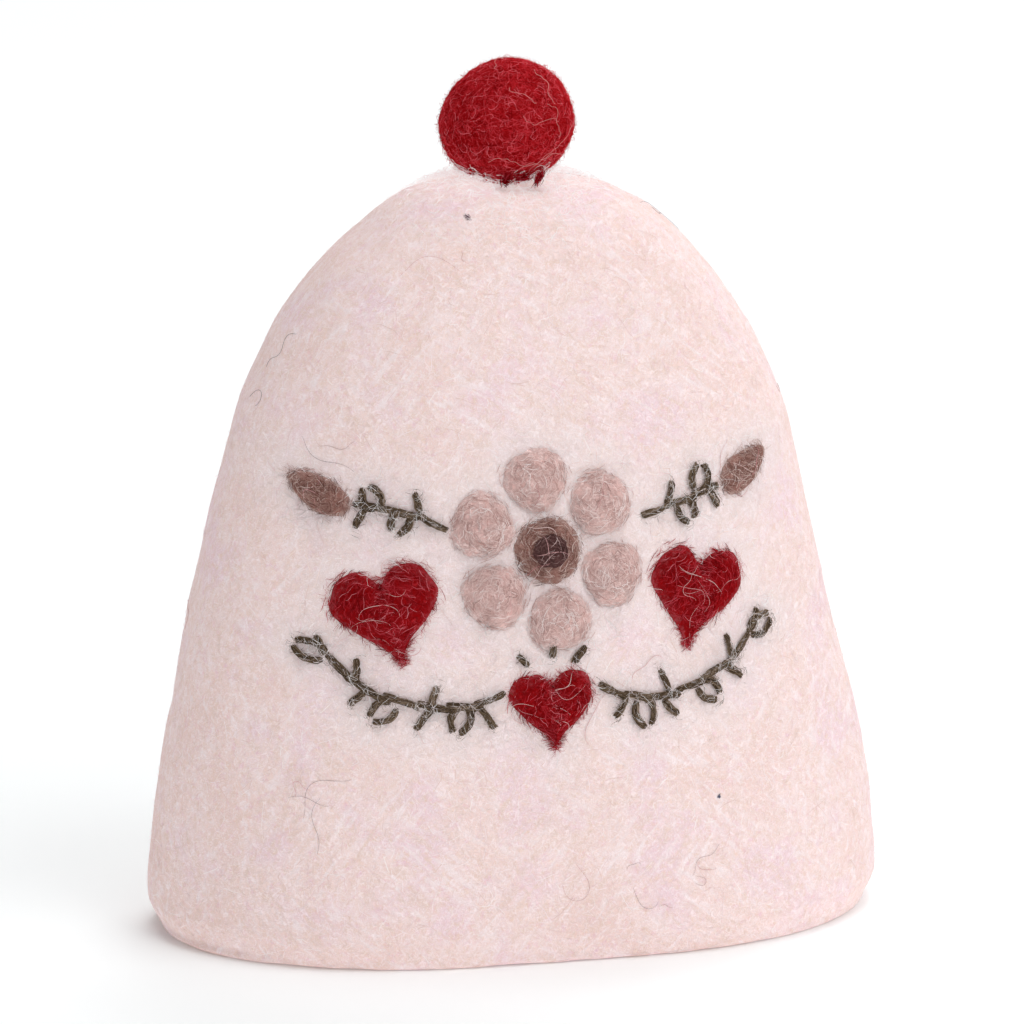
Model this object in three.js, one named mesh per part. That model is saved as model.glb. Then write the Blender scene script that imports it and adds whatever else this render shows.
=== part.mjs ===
// Egg cosy in wool felt: a one-piece wet-felted cap that stands on its own hem over a boiled egg,
// with a felt ball sewn to its crown and a needle-felted and embroidered flower garland on the front.
// Millimetres, +Z up. The origin is the centre of the hem on the table, and the front faces -Y.
import * as THREE from "three";

// The cap's horizontal sections, from the hem to the crown. lean is how far a section sits to one side.
const SECTIONS = [
  { z: 0, halfWidth: 40.9, halfDepth: 23.3, lean: 0.3 },
  { z: 4, halfWidth: 42.7, halfDepth: 24, lean: 0.3 },
  { z: 12, halfWidth: 42, halfDepth: 23.9, lean: 0.3 },
  { z: 24, halfWidth: 40.1, halfDepth: 23.3, lean: 0.2 },
  { z: 36, halfWidth: 37.3, halfDepth: 22.3, lean: -0.5 },
  { z: 48, halfWidth: 34.5, halfDepth: 20.9, lean: -0.5 },
  { z: 59, halfWidth: 31.8, halfDepth: 19.1, lean: -0.2 },
  { z: 68, halfWidth: 27.9, halfDepth: 16.8, lean: -0.3 },
  { z: 75, halfWidth: 23.3, halfDepth: 14.4, lean: -0.2 },
  { z: 80.5, halfWidth: 18, halfDepth: 11.5, lean: 0.2 },
  { z: 84.5, halfWidth: 12.2, halfDepth: 7.9, lean: -0.2 },
  { z: 87, halfWidth: 0, halfDepth: 0, lean: -0.6 },
];
const CROWN_Z = 87;
const SQUARENESS = 2.15; // 2 is an ellipse
const WALL = 3.2; // felt thickness
const HEM_ROUND = 0.9; // radius of the hem's two soft edges
const GAP = 0.3; // between pieces that touch

// The felt ball, pressed into a dimple of the crown.
const BALL_RADIUS = 7.8;
const BALL_FLATTENING = 0.95; // height over width
const BALL_CENTRE_Z = CROWN_Z + 5.2;
const DIMPLE_GAP = 0.5; // as GAP, and room for the facets of the dimple
const DIMPLE_WALL = 2; // felt left under the ball

// The motif's centre on the front, and its pads in the front view, x to the right and z up from there.
const MOTIF = { x: -0.8, z: 41 };
const FLOWER = { x: 0, z: 6.5, petals: 6, reach: 7.7, turn: 8 };
const PETAL = { width: 8.2, height: 6.9, thick: 1.5 };
const DISC = { width: 7.4, height: 7.2, thick: 1.5 };
const EYE = { width: 3.8, height: 3.6, thick: 0.9 };
const HEARTS = [
  { name: "heart_left", x: -17.6, z: -0.6, turn: 14, width: 11.6, height: 10.8, thick: 1.8 },
  { name: "heart_right", x: 17.2, z: -0.2, turn: -12, width: 11.4, height: 11.0, thick: 1.8 },
  { name: "heart_low", x: 0.2, z: -11.4, turn: 3, width: 9.4, height: 8.8, thick: 1.7 },
];
const BUDS = [
  { name: "bud_left", x: -24.4, z: 12.6, turn: 58, width: 4.8, height: 6.6, thick: 1.4 },
  { name: "bud_right", x: 24.0, z: 13.2, turn: -55, width: 4.8, height: 6.6, thick: 1.4 },
];

const PALE_PINK = 0xf0d9d6;
const RED = 0x9a181b;
const BEIGE = 0xc9aca4;
const TAUPE = 0x8f6a60;
const DARK_BROWN = 0x4a3231;

const felt = (color) => new THREE.MeshStandardMaterial({ color, roughness: 0.95, metalness: 0 });

// A monotone cubic curve through the rows' values, by Fritsch and Carlson's slopes.
function curveThrough(xs, ys) {
  const step = xs.slice(1).map((x, i) => x - xs[i]);
  const rise = step.map((h, i) => (ys[i + 1] - ys[i]) / h);
  const slope = xs.map((_, i) => {
    if (i === 0) return rise[0];
    if (i === xs.length - 1) return rise[i - 1];
    if (rise[i - 1] * rise[i] <= 0) return 0;
    const before = 2 * step[i] + step[i - 1];
    const after = step[i] + 2 * step[i - 1];
    return (before + after) / (before / rise[i - 1] + after / rise[i]);
  });
  return (x) => {
    let i = 0;
    while (i < step.length - 1 && x > xs[i + 1]) i += 1;
    const t = (x - xs[i]) / step[i];
    const ease = t * t * (3 - 2 * t);
    const swing = step[i] * t * (1 - t) * (slope[i] * (1 - t) - slope[i + 1] * t);
    return ys[i] * (1 - ease) + ys[i + 1] * ease + swing;
  };
}

// Squares of the widths are interpolated, because they fall evenly to nothing at a round crown.
const heights = SECTIONS.map((row) => row.z);
const widthSquared = curveThrough(heights, SECTIONS.map((row) => row.halfWidth ** 2));
const depthSquared = curveThrough(heights, SECTIONS.map((row) => row.halfDepth ** 2));
const leanAt = curveThrough(heights, SECTIONS.map((row) => row.lean));
const halfWidthAt = (z) => Math.sqrt(Math.max(widthSquared(z), 0));
const halfDepthAt = (z) => Math.sqrt(Math.max(depthSquared(z), 0));

// How much a hand-felted wall swells or sinks, as a share of its depth there.
const swell = (x, z, side) =>
  0.02 * Math.sin(x / 8 + z / 13 + 2 * side) + 0.015 * Math.sin(x / 15 - z / 10 + side);

// A point of the outer surface at a height, with angle 0 at +X and growing towards +Y.
function outerPoint(z, angle) {
  const along = (value) => Math.sign(value) * Math.abs(value) ** (2 / SQUARENESS);
  const x = leanAt(z) + halfWidthAt(z) * along(Math.cos(angle));
  const y = halfDepthAt(z) * along(Math.sin(angle));
  return new THREE.Vector3(x, y * (1 + swell(x, z, Math.sign(y))), z);
}

// The outward direction there, from the slope of the superellipse that the section is.
function outwardAt(point) {
  const step = 0.05;
  const z = Math.min(point.z, CROWN_Z - 2 * step);
  const fill = (x, y, height) => {
    const acrossShare = Math.abs((x - leanAt(height)) / halfWidthAt(height));
    const deepShare = Math.abs(y / halfDepthAt(height));
    return acrossShare ** SQUARENESS + deepShare ** SQUARENESS;
  };
  const { x, y } = point;
  return new THREE.Vector3(
    fill(x + step, y, z) - fill(x - step, y, z),
    fill(x, y + step, z) - fill(x, y - step, z),
    fill(x, y, z + step) - fill(x, y, z - step),
  ).normalize();
}

// The ball's surface grown by a clearance dents whatever would reach into it.
function dented(point, clearance) {
  const reach = BALL_RADIUS + clearance;
  const away = Math.hypot(point.x - leanAt(CROWN_Z), point.y);
  if (away >= reach) return point;
  const under = BALL_CENTRE_Z - BALL_FLATTENING * Math.sqrt(reach ** 2 - away ** 2);
  return point.setZ(Math.min(point.z, under));
}

// A closed surface from rings of points, capped by a fan at its first and its last ring.
function closedRings(first, rings, last) {
  const count = rings[0].length;
  const points = [first, ...rings.flat(), last];
  const faces = [];
  const at = (ring, i) => 1 + ring * count + (i % count);
  for (let i = 0; i < count; i += 1) {
    faces.push(0, at(0, i + 1), at(0, i));
    faces.push(points.length - 1, at(rings.length - 1, i), at(rings.length - 1, i + 1));
    for (let ring = 1; ring < rings.length; ring += 1) {
      faces.push(at(ring - 1, i), at(ring - 1, i + 1), at(ring, i));
      faces.push(at(ring - 1, i + 1), at(ring, i + 1), at(ring, i));
    }
  }
  const geometry = new THREE.BufferGeometry().setFromPoints(points);
  geometry.setIndex(faces);
  return geometry;
}

// The cap: down the inside from the crown, round the hem and up the outside.
function capGeometry() {
  const around = 52;
  const levels = 21;
  const angles = Array.from({ length: around }, (_, i) => (2 * Math.PI * i) / around);
  // Levels crowd a little towards the hem, and more towards the crown, where the surface lies flat.
  const shareUp = (i) => 1 - (1 - (i / levels) ** 1.35) ** 2.1;
  const levelZ = (i) => HEM_ROUND + (CROWN_Z - HEM_ROUND) * shareUp(i);
  const outside = (z) => angles.map((angle) => dented(outerPoint(z, angle), DIMPLE_GAP));
  const inwards = (point, distance) => point.clone().addScaledVector(outwardAt(point), -distance);
  const inside = (z) =>
    angles.map((angle) => dented(inwards(outerPoint(z, angle), WALL), DIMPLE_GAP + DIMPLE_WALL));
  // The hem's ring at a depth into the wall, flattened to a height.
  const hem = (depth, z) => angles.map((angle) => inwards(outerPoint(HEM_ROUND, angle), depth).setZ(z));
  const quarter = [0.75, 0.4, 0].map((share) => (share * Math.PI) / 2);
  const hemRings = [
    ...quarter.map((turn) => hem(WALL - HEM_ROUND * (1 - Math.sin(turn)), HEM_ROUND * (1 - Math.cos(turn)))),
    ...quarter
      .toReversed()
      .map((turn) => hem(HEM_ROUND * (1 - Math.sin(turn)), HEM_ROUND * (1 - Math.cos(turn)))),
  ];
  const rows = Array.from({ length: levels - 1 }, (_, i) => levelZ(i + 1));
  const crown = new THREE.Vector3(leanAt(CROWN_Z), 0, CROWN_Z);
  const innerCrown = dented(crown.clone().setZ(CROWN_Z - WALL), DIMPLE_GAP + DIMPLE_WALL);
  return closedRings(
    innerCrown,
    [...rows.toReversed().map(inside), ...hemRings, ...[HEM_ROUND, ...rows].map(outside)],
    dented(crown.clone(), DIMPLE_GAP),
  );
}

// A point of the front at a height, lifted off the felt. x and z are in the cosy's front view.
function frontPoint(x, z, lift) {
  const share = Math.min(Math.abs((x - leanAt(z)) / halfWidthAt(z)), 1);
  const depth = halfDepthAt(z) * (1 - share ** SQUARENESS) ** (1 / SQUARENESS);
  const point = new THREE.Vector3(x, -depth * (1 + swell(x, z, -1)), z);
  return point.addScaledVector(outwardAt(point), lift);
}

// A pad of needle-felted wool: its outline laid on the front and crowned towards the middle.
function padGeometry({ x, z, turn, width, height, thick, outline, under = GAP }) {
  const around = 18;
  const angle = THREE.MathUtils.degToRad(turn);
  const place = (share, i, lift) => {
    const [u, v] = outline((2 * Math.PI * i) / around);
    const across = (share * u * width) / 2;
    const up = (share * v * height) / 2;
    return frontPoint(
      MOTIF.x + x + across * Math.cos(angle) - up * Math.sin(angle),
      MOTIF.z + z + across * Math.sin(angle) + up * Math.cos(angle),
      under + lift,
    );
  };
  const ring = (share, lift) => Array.from({ length: around }, (_, i) => place(share, i, lift));
  const crowned = (share) => thick * (1 - share ** 2.4) ** 0.6;
  const underside = [ring(0.6, 0), ring(1, 0)];
  const top = [ring(0.96, 0.35 * thick), ring(0.84, crowned(0.84)), ring(0.5, crowned(0.5))];
  return closedRings(place(0, 0, 0), [...underside, ...top], place(0, 0, thick));
}

// Outlines as (across, up) in half sizes, anticlockwise from +X.
const round = (t) => [Math.cos(t), Math.sin(t)];
const petalOutline = (t) => [Math.cos(t) * (0.86 + 0.14 * Math.sin(t)), Math.sin(t)];
const budOutline = (t) => [Math.cos(t) * (0.78 - 0.22 * Math.sin(t)), Math.sin(t)];
// A heart: the sine cubed and cosine sum curve, shortened at its cleft.
const heartOutline = (t) => {
  const turn = Math.PI / 2 - t;
  const up = 13 * Math.cos(turn) - 5 * Math.cos(2 * turn) - 2 * Math.cos(3 * turn) - Math.cos(4 * turn);
  return [Math.sin(turn) ** 3, (up + 2.5) / 14.5];
};

const cosy = new THREE.Group();

function addPiece(name, geometry, color) {
  const piece = new THREE.Mesh(geometry, felt(color));
  piece.name = name;
  cosy.add(piece);
  return piece;
}

addPiece("cap", capGeometry(), PALE_PINK);

const ball = addPiece("ball", new THREE.SphereGeometry(BALL_RADIUS, 28, 16), RED);
ball.rotation.x = Math.PI / 2;
ball.scale.y = BALL_FLATTENING;
ball.position.set(leanAt(CROWN_Z), 0, BALL_CENTRE_Z);

for (let i = 0; i < FLOWER.petals; i += 1) {
  const turn = FLOWER.turn + (360 * i) / FLOWER.petals;
  const angle = THREE.MathUtils.degToRad(turn);
  const x = FLOWER.x - FLOWER.reach * Math.sin(angle);
  const z = FLOWER.z + FLOWER.reach * Math.cos(angle);
  addPiece(`petal_${i}`, padGeometry({ x, z, turn, ...PETAL, outline: petalOutline }), BEIGE);
}
addPiece("flower_disc", padGeometry({ ...FLOWER, ...DISC, outline: round }), TAUPE);
const aboveDisc = 2 * GAP + DISC.thick;
addPiece("flower_eye", padGeometry({ ...FLOWER, ...EYE, outline: round, under: aboveDisc }), DARK_BROWN);
for (const heart of HEARTS) addPiece(heart.name, padGeometry({ ...heart, outline: heartOutline }), RED);
for (const bud of BUDS) addPiece(bud.name, padGeometry({ ...bud, outline: budOutline }), TAUPE);

export default cosy;
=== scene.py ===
import math

import bpy
import numpy as np
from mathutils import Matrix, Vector


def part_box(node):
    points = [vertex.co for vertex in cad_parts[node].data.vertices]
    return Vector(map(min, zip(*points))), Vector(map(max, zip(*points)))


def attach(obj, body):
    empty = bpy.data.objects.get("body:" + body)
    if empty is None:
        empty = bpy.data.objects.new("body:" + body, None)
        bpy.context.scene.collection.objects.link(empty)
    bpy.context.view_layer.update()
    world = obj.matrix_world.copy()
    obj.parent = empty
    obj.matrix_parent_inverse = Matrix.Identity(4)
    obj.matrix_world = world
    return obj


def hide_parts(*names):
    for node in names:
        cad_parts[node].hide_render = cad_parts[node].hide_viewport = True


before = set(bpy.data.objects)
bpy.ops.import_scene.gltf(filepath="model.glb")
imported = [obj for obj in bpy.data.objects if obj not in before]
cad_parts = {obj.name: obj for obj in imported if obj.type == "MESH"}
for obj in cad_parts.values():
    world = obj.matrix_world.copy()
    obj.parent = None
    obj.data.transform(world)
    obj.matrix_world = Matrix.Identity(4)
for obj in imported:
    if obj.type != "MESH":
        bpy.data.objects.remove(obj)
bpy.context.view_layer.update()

# --------------------------------------------------------------------------------------------------
# Camera. A long lens from the front, a little to the left and above, aimed at the middle of the cosy.
# Lengths in this file are in millimetres, and turn to metres where they reach Blender.
# --------------------------------------------------------------------------------------------------
MM = 0.001
AZIMUTH, ELEVATION = math.radians(-13), math.radians(13)
CAMERA_DISTANCE, AIM_HEIGHT, LENS = 650, 47, 200

camera = bpy.data.objects.new("camera", bpy.data.cameras.new("camera"))
bpy.context.scene.collection.objects.link(camera)
bpy.context.scene.camera = camera
towards_camera = Vector((
    math.sin(AZIMUTH) * math.cos(ELEVATION), -math.cos(AZIMUTH) * math.cos(ELEVATION), math.sin(ELEVATION)))
camera.location = (towards_camera * CAMERA_DISTANCE + Vector((0, 0, AIM_HEIGHT))) * MM
camera.rotation_euler = (-towards_camera).to_track_quat("-Z", "Y").to_euler()
camera.data.lens = LENS
camera.data.clip_start, camera.data.clip_end = 0.01, 20

# --------------------------------------------------------------------------------------------------
# The cap: one seamless hollow of pale pink wool, wet-felted round a flat former, so it is wide and shallow,
# with a wall about 3 mm thick. Rubbed by hand, it is never quite even. It stands on its rounded hem.
# --------------------------------------------------------------------------------------------------
CAP_SECTIONS = np.array([
    # height, half width, half depth, lean to one side
    (0, 40.9, 23.3, 0.3),
    (4, 42.7, 24, 0.3),
    (12, 42, 23.9, 0.3),
    (24, 40.1, 23.3, 0.2),
    (36, 37.3, 22.3, -0.5),
    (48, 34.5, 20.9, -0.5),
    (59, 31.8, 19.1, -0.2),
    (68, 27.9, 16.8, -0.3),
    (75, 23.3, 14.4, -0.2),
    (80.5, 18, 11.5, 0.2),
    (84.5, 12.2, 7.9, -0.2),
    (87, 0, 0, -0.6),
])
CROWN_HEIGHT = CAP_SECTIONS[-1, 0]
SQUARENESS = 2.15  # of the sections, where 2 is an ellipse
WALL = 3.2
HEM_ROUND = 0.9
HEM_LIFT = 0.15  # how far the hem stands off the table where it is uneven
CROWN_DRAW = 0.9  # how far the ball's sewing draws the crown in
BALL_LOW, BALL_HIGH = (np.array(corner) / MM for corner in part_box("ball"))
BALL_CENTRE = (BALL_LOW + BALL_HIGH) / 2
BALL_RADII = (BALL_HIGH - BALL_LOW) / 2


def curve_through(xs, ys):
    """A monotone cubic curve through points: slopes are weighted harmonic means of the steps' rises."""
    step, rise = np.diff(xs), np.diff(ys) / np.diff(xs)
    before, after = 2 * step[1:] + step[:-1], step[1:] + 2 * step[:-1]
    level = rise[:-1] * rise[1:] <= 0
    safe = np.where(level, 1, rise[:-1]), np.where(level, 1, rise[1:])
    inner = np.where(level, 0, (before + after) / (before / safe[0] + after / safe[1]))
    slope = np.concatenate([rise[:1], inner, rise[-1:]])

    def value(x):
        i = np.clip(np.searchsorted(xs, x) - 1, 0, len(step) - 1)
        t = (x - xs[i]) / step[i]
        ease = t * t * (3 - 2 * t)
        swing = step[i] * t * (1 - t) * (slope[i] * (1 - t) - slope[i + 1] * t)
        return ys[i] * (1 - ease) + ys[i + 1] * ease + swing

    return value


# Squares of the widths are interpolated, because they fall evenly to nothing at a round crown.
width_squared = curve_through(CAP_SECTIONS[:, 0], CAP_SECTIONS[:, 1] ** 2)
depth_squared = curve_through(CAP_SECTIONS[:, 0], CAP_SECTIONS[:, 2] ** 2)
lean_at = curve_through(CAP_SECTIONS[:, 0], CAP_SECTIONS[:, 3])


def half_width_at(z):
    return np.sqrt(np.maximum(width_squared(z), 1e-4))


def half_depth_at(z):
    return np.sqrt(np.maximum(depth_squared(z), 1e-4))


def swell(x, z, side):
    """How much the hand-felted wall swells or sinks, as a share of its depth: two crossed slow waves."""
    return 0.02 * np.sin(x / 8 + z / 13 + 2 * side) + 0.015 * np.sin(x / 15 - z / 10 + side)


def cap_point(z, angle):
    """The cap's surface: at each height a superellipse, with angle 0 at +X and growing towards +Y."""
    across, deep = np.cos(angle), np.sin(angle)
    x = lean_at(z) + half_width_at(z) * np.sign(across) * np.abs(across) ** (2 / SQUARENESS)
    y = half_depth_at(z) * np.sign(deep) * np.abs(deep) ** (2 / SQUARENESS)
    return np.stack([x, y * (1 + swell(x, z, np.sign(y))), z + 0 * x], axis=-1)


def cap_fill(point):
    """The superellipse's own sum at a point: 1 on the surface, less inside."""
    x, y, z = np.moveaxis(point, -1, 0)
    y = y / (1 + swell(x, z, np.sign(y)))
    across, deep = np.abs((x - lean_at(z)) / half_width_at(z)), np.abs(y / half_depth_at(z))
    return across ** SQUARENESS + deep ** SQUARENESS


def unit(vectors):
    return vectors / np.maximum(np.linalg.norm(vectors, axis=-1, keepdims=True), 1e-9)


def cap_outward(point):
    """The outward direction: the slope of the superellipse's sum, by small steps along X, Y and Z."""
    point = np.array(point, float)
    point[..., 2] = np.minimum(point[..., 2], CROWN_HEIGHT - 0.2)
    steps = 0.05 * np.eye(3)
    return unit(np.stack([cap_fill(point + step) - cap_fill(point - step) for step in steps], axis=-1))


def clouds(points, cell, seed):
    """Smooth random values from -1 to 1: random numbers at the corners of cubes, blended by smoothstep."""
    table = np.random.default_rng(seed).uniform(-1, 1, (16, 16, 16))
    place = np.asarray(points) / cell + 64
    corner = np.floor(place).astype(int)
    share = place - corner
    share = share * share * (3 - 2 * share)
    total = 0
    for step in np.ndindex(2, 2, 2):
        weight = np.prod(np.where(step, share, 1 - share), axis=-1)
        i, j, k = np.moveaxis((corner + step) % 16, -1, 0)
        total = total + weight * table[i, j, k]
    return total


def cap_lumps(points):
    """How far the felt stands out of its even shape: slow, middling and small clouds, none at the foot."""
    lumps = 0.3 * clouds(points, 13, 1) + 0.15 * clouds(points, 5.5, 2) + 0.07 * clouds(points, 2.2, 3) - 0.1
    return lumps * np.clip(points[..., 2] / 2.5, 0, 1)


def dented(points, clearance):
    """The ball is sewn down tight: the crown is drawn in round it, and what would reach into it is
    pressed below it."""
    reach = BALL_RADII + clearance
    away = np.hypot(points[..., 0] - BALL_CENTRE[0], points[..., 1] - BALL_CENTRE[1]) / reach[0]
    under = BALL_CENTRE[2] - reach[2] * np.sqrt(np.maximum(1 - away ** 2, 0))
    points = points.copy()
    points[..., 2] -= CROWN_DRAW * np.clip(1 - (away / 1.5) ** 2, 0, 1) ** 2
    points[..., 2] = np.where(away < 1, np.minimum(points[..., 2], under), points[..., 2])
    return points


def skin(rings, first, last):
    """A closed surface over rows of points, with a fan at each end: its vertices, its triangles, and each
    corner's place on an unrolled map, round the ring to the right and from the first row to the last upwards.
    Seen from the last row's side, the rings run anticlockwise."""
    rows, columns = rings.shape[:2]
    vertices = np.vstack([[first], rings.reshape(-1, 3), [last]])
    row, column = (a.ravel() for a in np.meshgrid(np.arange(rows - 1), np.arange(columns), indexing="ij"))
    low, low_next = (row, column), (row, column + 1)
    high, high_next = (row + 1, column), (row + 1, column + 1)
    turn = np.arange(columns)
    foot, foot_next = (0 * turn, turn), (0 * turn, turn + 1)
    head, head_next = (0 * turn + rows - 1, turn), (0 * turn + rows - 1, turn + 1)
    first_tip, last_tip = (0 * turn - 1, turn + 0.5), (0 * turn + rows, turn + 0.5)
    faces = [
        (low, low_next, high), (low_next, high_next, high),
        (first_tip, foot_next, foot), (last_tip, head, head_next)]

    def number(r, c):
        inside = 1 + r * columns + np.floor(c).astype(int) % columns
        return np.where(r < 0, 0, np.where(r >= rows, 1 + rows * columns, inside))

    triangles = np.vstack([np.stack([number(r, c) for r, c in face], axis=-1) for face in faces])
    corners = np.vstack([
        np.stack([np.stack([c / columns, (r + 1) / (rows + 1)], axis=-1) for r, c in face], axis=1)
        for face in faces])
    return vertices, triangles, corners


def make_piece(name, vertices, triangles, corners, material, slot):
    """Puts a closed surface into a mesh of its own, smooth shaded, riding on the cosy's body."""
    mesh = bpy.data.meshes.new(name)
    mesh.vertices.add(len(vertices))
    mesh.vertices.foreach_set("co", (np.asarray(vertices) * MM).astype(np.float32).ravel())
    mesh.loops.add(3 * len(triangles))
    mesh.loops.foreach_set("vertex_index", triangles.astype(np.int32).ravel())
    mesh.polygons.add(len(triangles))
    mesh.polygons.foreach_set("loop_start", np.arange(0, 3 * len(triangles), 3, dtype=np.int32))
    mesh.update(calc_edges=True)
    mesh.shade_smooth()
    mesh.uv_layers.new(name="OFBake").data.foreach_set("uv", corners.astype(np.float32).ravel())
    mesh.materials.append(material)
    piece = bpy.data.objects.new(name, mesh)
    bpy.context.scene.collection.objects.link(piece)
    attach(piece, "root")
    return piece


def linear(colour):
    """An sRGB hex colour as linear red, green, blue and alpha."""
    values = [int(colour[i:i + 2], 16) / 255 for i in (1, 3, 5)]
    return [v / 12.92 if v <= 0.04045 else ((v + 0.055) / 1.055) ** 2.4 for v in values] + [1]


def put(tree, kind, inputs=(), stops=(), **settings):
    """Adds a node: settings are its own attributes, inputs maps a socket to a value or to another's output,
    and stops are a colour ramp's rows of position and hex colour."""
    node = tree.nodes.new("ShaderNode" + kind)
    for name, value in settings.items():
        setattr(node, name, value)
    for socket, value in dict(inputs).items():
        if isinstance(value, bpy.types.NodeSocket):
            tree.links.new(value, node.inputs[socket])
        else:
            node.inputs[socket].default_value = value
    for _ in range(len(stops) - 2):
        node.color_ramp.elements.new(0.5)
    for i, (position, colour) in enumerate(stops):
        node.color_ramp.elements[i].position = position
        node.color_ramp.elements[i].color = linear(colour)
    return node


# A mix node of colours holds its two colours and its result at these sockets.
MIX_A, MIX_B, MIX_RESULT = 6, 7, 2


def cleared_tree(owner):
    """Turns on the nodes of a material or of the world, clears them, and returns their tree."""
    owner.use_nodes = True
    owner.node_tree.nodes.clear()
    return owner.node_tree


def lock_pattern(tree, place, lean, length, width):
    """Locks of carded wool as a noise stretched along one direction of the front's plane, lean from level."""
    laid = put(tree, "Mapping", {
        "Vector": place, "Rotation": (0, math.radians(lean), 0),
        "Scale": (length * MM, width * MM, width * MM)}, vector_type="TEXTURE")
    locks = put(tree, "TexNoise", {
        "Vector": laid.outputs["Vector"], "Scale": 1.0, "Detail": 3.5, "Roughness": 0.6, "Distortion": 0.5})
    return locks.outputs["Fac"]


def share_of(tree, value, start, end, most=1.0):
    """A value's soft step from nothing at start to most at end."""
    return put(tree, "MapRange", {
        "Value": value, "From Min": start, "From Max": end, "To Max": most},
        interpolation_type="SMOOTHSTEP").outputs["Result"]


def blended(tree, share, below, above):
    """One tone laid over another by a share: each is a socket or a hex colour."""
    below, above = (linear(tone) if isinstance(tone, str) else tone for tone in (below, above))
    mix = put(tree, "Mix", {"Factor": share, MIX_A: below, MIX_B: above}, data_type="RGBA")
    return mix.outputs[MIX_RESULT]


def felted_wool(
        name, ground, mottle, hair_and_highlight, painted_hollow_shade, curl, tuft, depth, relief, gloss=0.04, locks=None, needled=None,
        fades_to=None):
    """Felted wool: a ground of matted fibres with softer tufts of another tone in it, single curly fibres
    drawn as thin level lines of warped noise in three layers, in a lighter tone that is partly painted
    highlight, and darker hollows, painted shade where the web lets the eye between. ground is a ramp over
    slow clouds and mottle one over quick clouds, as wool of several tones is carded together. curl and tuft
    are the sizes of a curl and a tuft in mm, depth is how strongly the fibres and the painted shade of the
    hollows show, and relief is their height in mm. locks are the tones of the dark and the light locks that
    a carded fleece leaves. needled is the tone of the ground where wool has been needled into it, by the
    mesh's own attribute of that name, and fades_to the tone that shows through a pad where it thins out
    raggedly towards its rim, by the attribute rim."""
    material = bpy.data.materials.new(name)
    tree = cleared_tree(material)
    place = put(tree, "TexCoord").outputs["Object"]
    tufts = put(tree, "TexNoise", {"Vector": place, "Scale": 1 / (tuft * MM), "Detail": 5, "Roughness": 0.66})
    slow = put(tree, "TexNoise", {"Vector": place, "Scale": 1 / (10 * tuft * MM), "Detail": 2})
    shifted = put(tree, "Mapping", {"Vector": place, "Location": (0.31, 0.17, 0.23)})
    carded = put(tree, "TexNoise", {
        "Vector": shifted.outputs["Vector"], "Scale": 1 / (1.3 * tuft * MM), "Detail": 4, "Roughness": 0.6})
    ground_tone = put(tree, "ValToRGB", {"Fac": slow.outputs["Fac"]}, ground)
    mottle_tone = put(tree, "ValToRGB", {"Fac": carded.outputs["Fac"]}, mottle)
    spots = share_of(tree, tufts.outputs["Fac"], 0.42, 0.72)
    tone = blended(tree, spots, ground_tone.outputs["Color"], mottle_tone.outputs["Color"])
    if locks:
        rising = lock_pattern(tree, place, -52, 5.5 * tuft, 1.3 * tuft)
        falling = lock_pattern(tree, place, 38, 5.0 * tuft, 1.2 * tuft)
        patches = put(tree, "TexNoise", {
            "Vector": shifted.outputs["Vector"], "Scale": 1 / (12 * tuft * MM), "Detail": 1})
        which = share_of(tree, patches.outputs["Fac"], 0.42, 0.58)
        mix = put(tree, "Mix", {"Factor": which, "A": rising, "B": falling}, data_type="FLOAT")
        laid = mix.outputs["Result"]
        tone = blended(tree, share_of(tree, laid, 0.5, 0.3, 0.75), tone, locks[0])
        tone = blended(tree, share_of(tree, laid, 0.5, 0.7, 0.85), tone, locks[1])
    if needled:
        near = put(tree, "Attribute", attribute_name="needled")
        tone = blended(tree, near.outputs["Fac"], tone, needled)
    if fades_to:
        rim = put(tree, "Attribute", attribute_name="rim").outputs["Fac"]
        ragged = put(tree, "Math", {0: rim, 1: tufts.outputs["Fac"]}, operation="ADD").outputs[0]
        tone = blended(tree, share_of(tree, ragged, 1.3, 1.62, 0.9), tone, fades_to)
    web = None
    for size, shift in [(1, 0.0), (0.74, 3.1), (1.25, 7.7)]:
        moved = put(tree, "Mapping", {"Vector": place, "Location": (shift * MM, 2 * shift * MM, 0)})
        bent = put(tree, "TexNoise", {
            "Vector": moved.outputs["Vector"], "Scale": 1 / (size * curl * MM), "Detail": 1.5,
            "Distortion": 1.2})
        level = put(tree, "Math", {0: bent.outputs["Fac"], 1: 0.5}, operation="SUBTRACT")
        away = put(tree, "Math", {0: level.outputs[0]}, operation="ABSOLUTE")
        line = share_of(tree, away.outputs[0], 0.035, 0.0)
        web = line if web is None else put(tree, "Math", {0: web, 1: line}, operation="MAXIMUM").outputs[0]
    # Painted shade: the hollows between the fibres are darkened. The fibres' lighter tone over them is partly
    # painted highlight.
    between = put(tree, "Math", {0: 1.0, 1: web}, operation="SUBTRACT")
    hollow_shade_mask = put(tree, "Math", {0: between.outputs[0], 1: tufts.outputs["Fac"]}, operation="MULTIPLY")
    hollow_shade_share = put(tree, "Math", {0: hollow_shade_mask.outputs[0], 1: 0.6 * depth}, operation="MULTIPLY")
    tone = blended(tree, hollow_shade_share.outputs[0], tone, painted_hollow_shade)
    hair_and_highlight_share = put(tree, "Math", {0: web, 1: depth}, operation="MULTIPLY")
    tone = blended(tree, hair_and_highlight_share.outputs[0], tone, hair_and_highlight)
    height = put(tree, "Math", {0: web, 1: tufts.outputs["Fac"]}, operation="ADD")
    bump = put(tree, "Bump", {"Height": height.outputs[0], "Distance": relief * MM, "Strength": 0.8})
    shader = put(tree, "BsdfPrincipled", {
        "Base Color": tone, "Normal": bump.outputs["Normal"], "Roughness": 0.95, "Specular IOR Level": gloss})
    put(tree, "OutputMaterial", {"Surface": shader.outputs["BSDF"]})
    return material


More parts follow.
